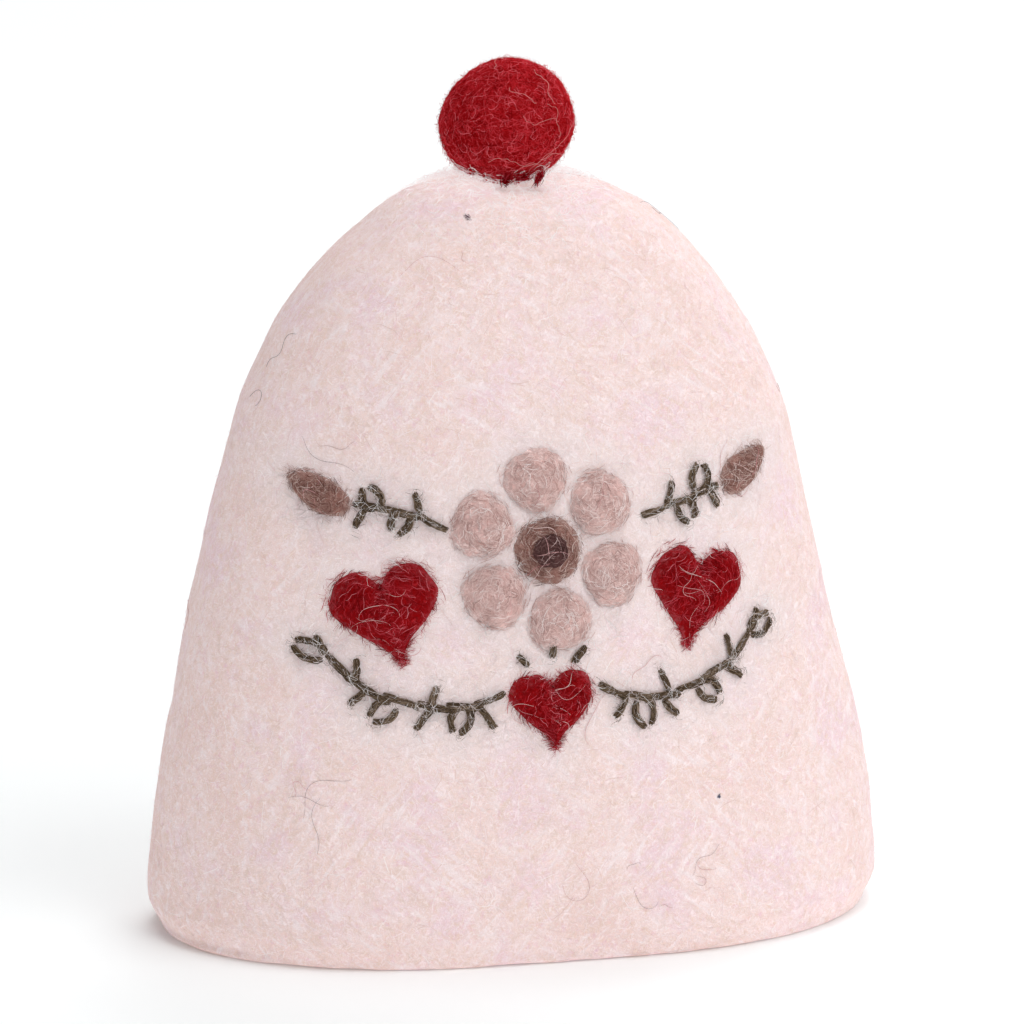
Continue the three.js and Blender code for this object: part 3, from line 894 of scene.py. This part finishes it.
PAD_FIBRES = {
    "beige": wool_fibre(
        "beige_wool_fibre", [(0, "#ad7f77"), (0.25, "#d3a8a1"), (0.65, "#f1d1cb"), (1, "#fff2f0")]),
    "taupe": wool_fibre(
        "taupe_wool_fibre", [(0, "#643f37"), (0.35, "#916960"), (0.75, "#bf9c92"), (1, "#e6d0c9")]),
    "brown": wool_fibre(
        "dark_brown_wool_fibre", [(0, "#3a2322"), (0.6, "#5f4240"), (0.9, "#8d6c69"), (1, "#cdb8b4")]),
    "red": wool_fibre(
        "needled_red_wool_fibre",
        [(0, "#5c0204"), (0.3, "#8c0b10"), (0.6, "#a81c24"), (0.88, "#c4424d"), (1, "#dc8890")], gloss=0.0),
}


def pad_share(pad, x, z):
    """How far out of a pad's middle a place lies: 1 at its outline, read along the ray from its middle."""
    _, pad_x, pad_z, turn, width, height, _, _, outline, _ = pad
    t = np.linspace(0, 2 * np.pi, 361)
    u, v = outline(t)
    across, up = turned(x - pad_x, z - pad_z, -math.radians(turn))
    reach = np.interp(
        np.arctan2(up, across), np.arctan2(v * height, u * width), np.hypot(u * width, v * height) / 2,
        period=2 * np.pi)
    return np.hypot(across, up) / reach


def over_pad(pad, seed, x, z):
    """The height over the felt of a pad's top at a place, and nothing beyond its outline."""
    thick, foot = pad[6], pad[7]
    out = pad_share(pad, x, z)
    return foot * (out < 1) + thick * crown(out) * (1 + tuft_lumps(x, z, seed))


def pad_fibres(pad, seed, count, length, lift, thickness, steps, shades=(0, 1)):
    """Fibres over a pad, rooted evenly over it and thinning out beyond it: they run any way in its middle and
    along its edge at the edge."""
    _, pad_x, pad_z = pad[:3]
    rng = np.random.default_rng(seed)
    share = np.sqrt(rng.uniform(0, 1, count)) * np.minimum(1.0 + 0.05 * rng.exponential(1, count), 1.2)
    x, z = place_in_pad(pad, share, rng.uniform(0, 2 * np.pi, count))
    along = np.linspace(0, 1, steps)
    wave = rng.uniform(0.6, 1.6, (count, 1)) * along + rng.uniform(0, 1, (count, 1))
    stray = (1.4 - 1.05 * share)[:, None]
    heading = np.arctan2(z, x)[:, None] + np.pi / 2 + rng.normal(0, 0.8, (count, 1)) * stray
    heading = heading + np.pi * rng.integers(0, 2, (count, 1))
    bend = rng.uniform(-1.6, 1.6, (count, 1)) * (along - 0.5)
    heading = heading + (bend + 0.7 * np.sin(2 * np.pi * wave)) * stray
    step = rng.uniform(*length, (count, 1)) * (1.1 - 0.5 * share)[:, None] / (steps - 1)
    run, climb = np.cumsum(np.cos(heading) * step, axis=1), np.cumsum(np.sin(heading) * step, axis=1)
    x = pad_x + x[:, None] + run - run.mean(1, keepdims=True)
    z = pad_z + z[:, None] + climb - climb.mean(1, keepdims=True)
    points, up = front_point(x, z, 0.05 + over_pad(pad, seed, x, z) + arched(rng, count, along, lift, 0.04))
    return points, tapered(rng, count, along, thickness), up, rng.uniform(*shades, count)


def pad_halo(pad, seed, per_mm, length, thickness, steps, shades=(0.3, 1)):
    """Fine loose ends all round a pad: each leaves its edge more or less outwards, bends, and settles on the
    felt."""
    _, pad_x, pad_z, _, width, height = pad[:6]
    rng = np.random.default_rng(seed + 100)
    count = int(per_mm * np.pi * (width + height) / 2)
    share = rng.uniform(0.86, 1.0, count)
    x, z = place_in_pad(pad, share, rng.uniform(0, 2 * np.pi, count))
    along = np.linspace(0, 1, steps)
    heading = np.arctan2(z, x)[:, None] + rng.normal(0, 1.1, (count, 1))
    heading = heading + rng.normal(0, 1.8, (count, 1)) * along
    step = rng.uniform(*length, (count, 1)) / (steps - 1)
    x = pad_x + x[:, None] + np.cumsum(np.cos(heading) * step, axis=1)
    z = pad_z + z[:, None] + np.cumsum(np.sin(heading) * step, axis=1)
    lift = rng.uniform(0.02, 0.2, (count, 1)) * along ** 0.7
    points, up = front_point(x, z, 0.05 + over_pad(pad, seed, x, z) + lift)
    return points, tapered(rng, count, along, thickness), up, rng.uniform(*shades, count)


LOOSE_LIT = (0.3, -0.8, 0.6)  # as FLUFF_LIT, for what lies closer
numbered_pads = list(enumerate(PADS, start=40))
for seed, pad in numbered_pads:
    name, wool = pad[0], pad[-1]
    surface, rim = pad_surface(pad, seed)
    piece = make_piece(name + "_wool", *surface, PAD_WOOLS[wool], wool + "_felt")
    piece.data.attributes.new("rim", "FLOAT", "POINT").data.foreach_set("value", rim.astype(np.float32))
    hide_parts(name)

for wool, per_mm2, per_mm in [("beige", 9, 9), ("taupe", 11, 9), ("brown", 10, 8), ("red", 9, 16)]:
    pads = [(seed, pad) for seed, pad in numbered_pads if pad[-1] == wool]
    joined_strands(wool + "_pad_fibres", [
        pad_fibres(pad, seed, int(per_mm2 * 0.7 * pad[4] * pad[5]), (1.6, 3.8), 0.16, (0.05, 0.08), 6)
        for seed, pad in pads], PAD_FIBRES[wool], wool + "_felt", softness=0.75, flat=0.5)
    # Loose ends take only the lighter tones of their wool: painted light, as fine ends let light through.
    joined_strands(wool + "_pad_loose_ends", [
        pad_halo(pad, seed, per_mm, (0.3, 1.2), (0.022, 0.036), 4, (0.6, 1))
        for seed, pad in pads], PAD_FIBRES[wool], wool + "_felt", softness=0.9, lit=LOOSE_LIT, shadow=False)

# --------------------------------------------------------------------------------------------------
# Embroidery: soft olive wool yarn, about 1 mm thick, sewn through the felt. Stems are overlapping
# straight stitches, and leaves are straight stitches and small loops caught down at their tip.
# --------------------------------------------------------------------------------------------------
YARN_THICK = 1.0
YARN_PITCH = 9.0
YARN_BUNDLES = 20

STEMS = [
    # points along a stem as x, z from the motif's middle, from its root to its tip
    [(-5.6, -9.2), (-8.6, -10.4), (-11.5, -10.7), (-15.0, -10.6), (-18.5, -9.6), (-21.8, -7.8),
     (-24.5, -5.2)],
    [(5.9, -9.0), (8.8, -10.2), (11.7, -10.8), (15.2, -10.4), (18.3, -9.4), (21.6, -7.4), (24.2, -5.0)],
    [(-11.4, 9.4), (-14.4, 10.6), (-17.6, 10.9), (-21.0, 11.4)],
    [(11.5, 9.6), (14.6, 10.5), (17.8, 11.2), (20.8, 12.0)],
]
LEAVES = [
    # from x, z to x, z, and the width of its loop, or none for a straight stitch
    (-8.4, -10.4, -6.6, -13.4, 0), (-9.8, -10.6, -10.6, -14.0, 1.7), (-13.0, -10.9, -15.2, -13.4, 0),
    (-13.6, -10.6, -12.6, -7.9, 0), (-17.4, -10.2, -20.0, -12.0, 1.6), (-20.4, -8.8, -22.6, -10.6, 0),
    (-21.6, -7.8, -21.4, -5.0, 0), (-24.4, -5.2, -27.6, -4.2, 1.6), (-24.5, -5.4, -25.6, -2.6, 0),
    (8.6, -10.2, 7.2, -13.2, 0), (10.2, -10.6, 11.2, -13.9, 1.7), (13.2, -10.8, 15.4, -13.2, 0),
    (13.8, -10.5, 12.8, -7.8, 0), (17.6, -9.9, 20.2, -11.8, 1.6), (20.6, -8.4, 22.9, -10.2, 0),
    (21.4, -7.6, 21.0, -4.8, 0), (24.2, -5.0, 27.2, -4.2, 1.6), (24.1, -5.2, 25.4, -2.4, 0),
    (-14.0, 10.5, -15.4, 13.2, 0), (-15.4, 10.8, -16.8, 8.2, 1.5), (-18.4, 11.0, -19.6, 13.8, 1.6),
    (-19.4, 11.2, -20.8, 8.8, 0), (14.2, 10.4, 15.2, 13.2, 0), (15.8, 10.7, 17.2, 8.4, 1.5),
    (18.2, 11.3, 19.2, 14.1, 1.6), (19.4, 11.6, 20.9, 9.4, 0),
    (-2.4, -6.6, -4.2, -4.4, 0), (2.6, -6.4, 4.4, -4.2, 0), (0.2, -5.6, 0.3, -3.2, 0),
]

# Olive wool yarn: dull, from dark brown to a pale olive-brown, each fibre bundle with its own tone at random.
olive_yarn = wool_fibre(
    "olive_wool_yarn", [(0, "#43362a"), (0.3, "#5c4b3b"), (0.75, "#776552"), (1, "#a18d7d")])


def twisted(rng, points, up, thick, pitch, count, fade):
    """Soft yarn along a row of points: fine bundles of fibre spread over an oval section, a little flat
    against up, which turn slowly round it and wander. Fade draws the bundles together where it is 0."""
    run = length_along(points)
    across = unit(np.cross(unit(np.gradient(points, axis=0)), up))
    turn = 2 * np.pi * (rng.uniform(0, 1, (count, 1)) + run / pitch) + 0.5 * np.sin(
        2 * np.pi * (run / 2.5 + rng.uniform(0, 1, (count, 1))))
    out = 0.5 * (thick - 0.1) * np.sqrt(rng.uniform(0.1, 1, (count, 1))) * (1 - 0.45 * (1 - fade))
    slid = rng.uniform(-0.3, 0.3, (count, 1, 1)) * unit(np.gradient(points, axis=0))
    lines = points + slid + (out * np.cos(turn))[..., None] * across
    lines = lines + (0.5 * out * np.sin(turn))[..., None] * up
    wide = rng.uniform(0.08, 0.14, (count, 1)) + 0 * fade
    return lines, wide, np.broadcast_to(up, lines.shape), rng.uniform(0, 1, count)


def sewn_yarn(rng, x, z):
    """Yarn along a path on the front: it comes up out of the felt at its start and goes down at its end."""
    run = np.concatenate([[0], np.cumsum(np.hypot(np.diff(x), np.diff(z)))])
    fade = np.clip(np.minimum(run, run[-1] - run) / 0.7, 0, 1)
    points, up = front_point(x, z, -0.5 + (0.5 + 0.32 * YARN_THICK) * fade ** 0.5)
    return twisted(rng, points, up, YARN_THICK, YARN_PITCH, YARN_BUNDLES, fade)


def stitch(rng, start, end, bow, aside=0.0):
    """A stitch from hole to hole, bowed to its left by bow, and moved to its left by aside."""
    s = np.linspace(0, 1, 11)
    (x0, z0), (x1, z1) = start, end
    away = math.hypot(x1 - x0, z1 - z0)
    left = (bow * np.sin(np.pi * s ** 0.8) + aside) / away
    return sewn_yarn(rng, x0 + (x1 - x0) * s - left * (z1 - z0), z0 + (z1 - z0) * s + left * (x1 - x0))


rng = np.random.default_rng(60)
stem_yarn = []
for stem in STEMS:
    stem = np.array(stem) + rng.normal(0, 0.12, (len(stem), 2))
    for start, end in zip(stem[:-1], stem[1:]):
        # A stem stitch starts a little behind the last one's end, and beside it.
        ahead = (end - start) / np.linalg.norm(end - start)
        aside = 0.22 * np.array([-ahead[1], ahead[0]])
        bow = rng.uniform(-0.2, 0.2)
        stem_yarn.append(stitch(rng, start - 0.75 * ahead + aside, end + 0.3 * ahead - aside, bow))
joined_strands("stem_stitches", stem_yarn, olive_yarn, "taupe_felt", softness=0.5)

leaf_yarn = []
for x0, z0, x1, z1, width in LEAVES:
    start = np.array([x0, z0]) + rng.normal(0, 0.15, 2)
    end = np.array([x1, z1]) + rng.normal(0, 0.25, 2)
    bows = [(width / 2, 0.22), (-width / 2, -0.22)] if width else [(rng.uniform(-0.3, 0.3), 0)]
    leaf_yarn += [stitch(rng, start, end, bow, aside) for bow, aside in bows]
joined_strands("leaf_stitches", leaf_yarn, olive_yarn, "taupe_felt", softness=0.5)

# Where wool and yarn go through it, the pink ground is pressed and whitened: a halo round every piece.
GROUND_HALF_WIDTH, GROUND_HALF_HEIGHT = 36, 26  # of the part of the front that the halo may reach
WHITEST, HALO_REACH = 0.75, 3.2  # how much of the ground's tone it takes at most, and how far it fades out
yarn_places = np.concatenate([
    lines[0][:, [0, 2]] - [MOTIF_X, MOTIF_Z] for lines, *_ in stem_yarn + leaf_yarn])
worked = [yarn_places]
for pad in PADS:
    across, up = place_in_pad(pad, 1, np.linspace(0, 2 * np.pi, 40))
    worked.append(np.stack([pad[1] + across, pad[2] + up], axis=-1))
worked = np.concatenate(worked)
co = np.empty(3 * len(cap.data.vertices), np.float32)
cap.data.vertices.foreach_get("co", co)
x, y, z = (co.reshape(-1, 3) / MM).T
near = (y < 0) & (np.abs(x - MOTIF_X) < GROUND_HALF_WIDTH) & (np.abs(z - MOTIF_Z) < GROUND_HALF_HEIGHT)
places = np.stack([x - MOTIF_X, z - MOTIF_Z], axis=-1)[near]
halo = np.zeros(len(x), np.float32)
away = np.linalg.norm(places[:, None] - worked[None], axis=-1).min(1)
halo[near] = WHITEST * np.exp(-(away / HALO_REACH) ** 2)
cap.data.attributes.new("needled", "FLOAT", "POINT").data.foreach_set("value", halo)

# --------------------------------------------------------------------------------------------------
# Loose wool over the work: needling and sewing drag fine pale fibres of the ground over the pads' rims and
# the stitches, a few long pale curls stay caught on the pads, and the yarn sheds short hairs of its own.
# --------------------------------------------------------------------------------------------------


def motif_height(x, z):
    """The height over the felt of what lies at a place of the front: the highest pad there, or the yarn."""
    pads = np.max([over_pad(pad, seed, x, z) for seed, pad in numbered_pads], axis=0)
    away = np.sqrt(np.min([(x - a) ** 2 + (z - b) ** 2 for a, b in yarn_places], axis=0)) / (0.5 * YARN_THICK)
    return np.maximum(pads, 0.7 * YARN_THICK * np.sqrt(np.maximum(1 - away ** 2, 0)))


def front_curls(rng, x, z, length, bend, sway, waves, lift, thickness, steps, shades=(0, 1)):
    """Curls laid over the front at places of the motif: as curls, in the plane of the front, and lifted over
    whatever lies there."""
    count = len(x)
    along = np.linspace(0, 1, steps)
    wave = rng.uniform(*waves, (count, 1)) * along + rng.uniform(0, 1, (count, 1))
    heading = rng.uniform(0, 2 * np.pi, (count, 1)) + rng.uniform(-bend, bend, (count, 1)) * (along - 0.5)
    heading = heading + rng.uniform(0.4 * sway, sway, (count, 1)) * np.sin(2 * np.pi * wave)
    step = rng.uniform(*length, (count, 1)) / (steps - 1)
    run, climb = np.cumsum(np.cos(heading) * step, axis=1), np.cumsum(np.sin(heading) * step, axis=1)
    x = x[:, None] + run - run.mean(1, keepdims=True)
    z = z[:, None] + climb - climb.mean(1, keepdims=True)
    points, up = front_point(x, z, 0.06 + motif_height(x, z) + arched(rng, count, along, lift, 0.0))
    return points, tapered(rng, count, along, thickness), up, rng.uniform(*shades, count)


def places_near(rng, places, count, stray):
    """Places picked at random from a list, each moved off it by about stray."""
    return places[rng.integers(0, len(places), count)] + rng.normal(0, stray, (count, 2))


rng = np.random.default_rng(70)
CURLS_PER_PAD = {"red": 10, "taupe": 4, "brown": 1, "beige": 1}
pad_curls = []
for _, (_, x, z, _, width, height, _, _, _, wool) in numbered_pads:
    count = CURLS_PER_PAD[wool]
    place = rng.normal(0, 0.22, (2, count))
    pad_curls.append(front_curls(
        rng, x + width * place[0], z + height * place[1], (2.5, 7.0), 3.2, 0.7, (0.6, 1.6), 0.25,
        (0.05, 0.075), 20))
pale_curl = wool_fibre("pale_pink_wool_curl", [(0, "#d08a8d"), (0.5, "#e3b0af"), (1, "#f6dcd8")])
joined_strands("pale_curls", pad_curls, pale_curl, "pale_pink_felt", softness=0.6)

spot = places_near(rng, worked, 2600, 1.3)
spot = spot[motif_height(*spot.T) < 0.05]
across_yarn = places_near(rng, yarn_places, 420, 0.4)
loose = [
    front_curls(rng, *spot.T, (1.0, 2.8), 3.0, 0.6, (0.5, 1.1), 0.22, (0.03, 0.055), 5),
    front_curls(rng, *across_yarn.T, (1.2, 3.0), 2.6, 0.6, (0.5, 1.1), 0.2, (0.025, 0.045), 5, (0.3, 1))]
# These take the paler tones of the rubbed-up wool: painted light.
joined_strands(
    "loose_pale_fibres", loose, fluff_fibre_in_painted_light, "pale_pink_felt", softness=0.9, lit=LOOSE_LIT, shadow=False)
shed = places_near(rng, yarn_places, 1200, 0.28)
joined_strands(
    "yarn_hairs", [front_curls(rng, *shed.T, (0.6, 1.5), 2.4, 0.5, (0.5, 1.0), 0.25, (0.024, 0.04), 4)],
    olive_yarn, "taupe_felt", softness=0.7, shadow=False)

# --------------------------------------------------------------------------------------------------
# Strays: single dark and rosy hairs that were carded in by chance and felted to the cap, and two specks of
# matted wool, one blue-grey and one purple.
# --------------------------------------------------------------------------------------------------
HAIR_PATCHES = [
    # x and z of a patch's middle, half its width and half its height, and how many hairs lie in it
    (12, 9, 13, 3, 7),
    (-28, 20, 5, 5, 4),
    (-24, 56, 3, 4, 2),
    (-10, 76, 5, 4, 2),
]
HAIR_STEPS = 26
rng = np.random.default_rng(90)
hairs = []
for x, z, half_width, half_height, count in HAIR_PATCHES:
    across, up = rng.uniform(-1, 1, (2, count))
    hairs.append(front_curls(
        rng, x + half_width * across - MOTIF_X, z + half_height * up - MOTIF_Z, (1.5, 9), 3.5, 0.9,
        (0.6, 1.6), 0.1, (0.04, 0.05), HAIR_STEPS))

# The same kinds of hair lie at random on the sides and the back.
roots, normals = cap_roots(rng, 60)
roots, normals = roots[roots[:, 1] > -5], normals[roots[:, 1] > -5]
lines, along = curls(rng, roots, normals, (1.5, 9), 3.5, 0.9, (0.6, 1.6), HAIR_STEPS)
lines, up = settle_on_cap(lines, np.full(lines.shape[:2], 0.04))
hairs.append((lines, np.full(lines.shape[:2], 0.045), up, rng.uniform(0, 1, len(lines)) ** 2))
stray_hair = wool_fibre("stray_hair", [(0, "#8a7a7a"), (0.3, "#a08487"), (0.7, "#c99a94"), (1, "#e59aa4")])
joined_strands("stray_hairs", hairs, stray_hair, "pale_pink_felt", softness=0.8, shadow=False)

SPECKS = [
    # x, z, size, shade
    (19, 18, 0.5, 0.0),
    (-7, 83, 0.75, 1.0),
]
specks = []
for x, z, size, shade in SPECKS:
    place = rng.normal(0, 0.16 * size, (2, 16))
    specks.append(front_curls(
        rng, x - MOTIF_X + place[0], z - MOTIF_Z + place[1], (0.5 * size, 1.1 * size), 5.0, 0.5,
        (0.5, 1), 0.12, (0.05, 0.08), 6, (shade, shade)))
speck_wool = wool_fibre(
    "matted_speck_of_wool", [(0, "#5f6378"), (0.5, "#5f6378"), (0.6, "#5a3346"), (1, "#5a3346")])
joined_strands("wool_specks", specks, speck_wool, "pale_pink_felt", softness=0.6)

# --------------------------------------------------------------------------------------------------
# Floor and light. A white table in a white room, lit by four large soft lamps: to the right of the camera and
# above it, straight overhead, weakly from the camera's side, and from behind on the right.
# --------------------------------------------------------------------------------------------------
FLOOR_SIZE = 6000
BOARD_GLOW = 0.27  # the strength at which the board shines on the cosy from below
LAMP_DISTANCE = 2600
floor_mesh = bpy.data.meshes.new("floor")
half = FLOOR_SIZE / 2 * MM
floor_mesh.from_pydata(
    [(-half, -half, 0), (half, -half, 0), (half, half, 0), (-half, half, 0)], [], [(0, 1, 2, 3)])
floor = bpy.data.objects.new("floor", floor_mesh)
bpy.context.scene.collection.objects.link(floor)
# Matt white board, lit from below as well, which fills the shadows low on the cosy. Its own glow is kept from
# the camera, so that the cosy's shadow on it stays.
board = bpy.data.materials.new("matt_white_board")
tree = cleared_tree(board)
matt = put(tree, "BsdfDiffuse", {"Color": (0.957, 0.985, 0.985, 1)})
unseen = put(tree, "Math", {0: 1.0, 1: put(tree, "LightPath").outputs["Is Camera Ray"]}, operation="SUBTRACT")
glow_share = put(tree, "Math", {0: unseen.outputs[0], 1: BOARD_GLOW}, operation="MULTIPLY")
glow = put(tree, "Emission", {"Color": (1, 1, 1, 1), "Strength": glow_share.outputs[0]})
both = put(tree, "AddShader", {0: matt.outputs["BSDF"], 1: glow.outputs["Emission"]})
put(tree, "OutputMaterial", {"Surface": both.outputs["Shader"]})
floor_mesh.materials.append(board)


def add_lamp(name, azimuth, elevation, size, strength, tint=(1, 1, 1)):
    """A square soft lamp aimed at the middle of the cosy, from an azimuth counted as the camera's is."""
    lamp = bpy.data.lights.new(name, "AREA")
    lamp.size = size * MM
    lamp.energy = strength
    lamp.color = tint
    a, e = math.radians(azimuth), math.radians(elevation)
    away = Vector((math.sin(a) * math.cos(e), -math.cos(a) * math.cos(e), math.sin(e)))
    placed = bpy.data.objects.new(name, lamp)
    placed.location = (away * LAMP_DISTANCE + Vector((0, 0, AIM_HEIGHT))) * MM
    placed.rotation_euler = (-away).to_track_quat("-Z", "Y").to_euler()
    bpy.context.scene.collection.objects.link(placed)


add_lamp("key_lamp", azimuth=43, elevation=42, size=2000, strength=27.2)
add_lamp("top_lamp", azimuth=0, elevation=88, size=1600, strength=28.8, tint=(0.98, 1, 1.01))
add_lamp("fill_lamp", azimuth=-15, elevation=20, size=2000, strength=1.8)
add_lamp("back_lamp", azimuth=145, elevation=50, size=1500, strength=19.0, tint=(0.98, 1, 1))

world = bpy.data.worlds.new("white_room")
bpy.context.scene.world = world
tree = cleared_tree(world)
paths = put(tree, "LightPath")
mirror = put(tree, "Math", {
    0: paths.outputs["Is Glossy Ray"], 1: paths.outputs["Is Transmission Ray"]}, operation="MAXIMUM")
shown = put(tree, "Math", {0: paths.outputs["Is Camera Ray"], 1: mirror.outputs[0]}, operation="MAXIMUM")
room = put(tree, "Background", {"Color": (1, 0.95, 0.955, 1), "Strength": 0.31})
white = put(tree, "Background", {"Color": (1, 1, 1, 1), "Strength": 1.0})
choice = put(tree, "MixShader", {
    0: shown.outputs[0], 1: room.outputs["Background"], 2: white.outputs["Background"]})
put(tree, "OutputWorld", {"Surface": choice.outputs["Shader"]})

bpy.context.scene.view_settings.view_transform = "Standard"
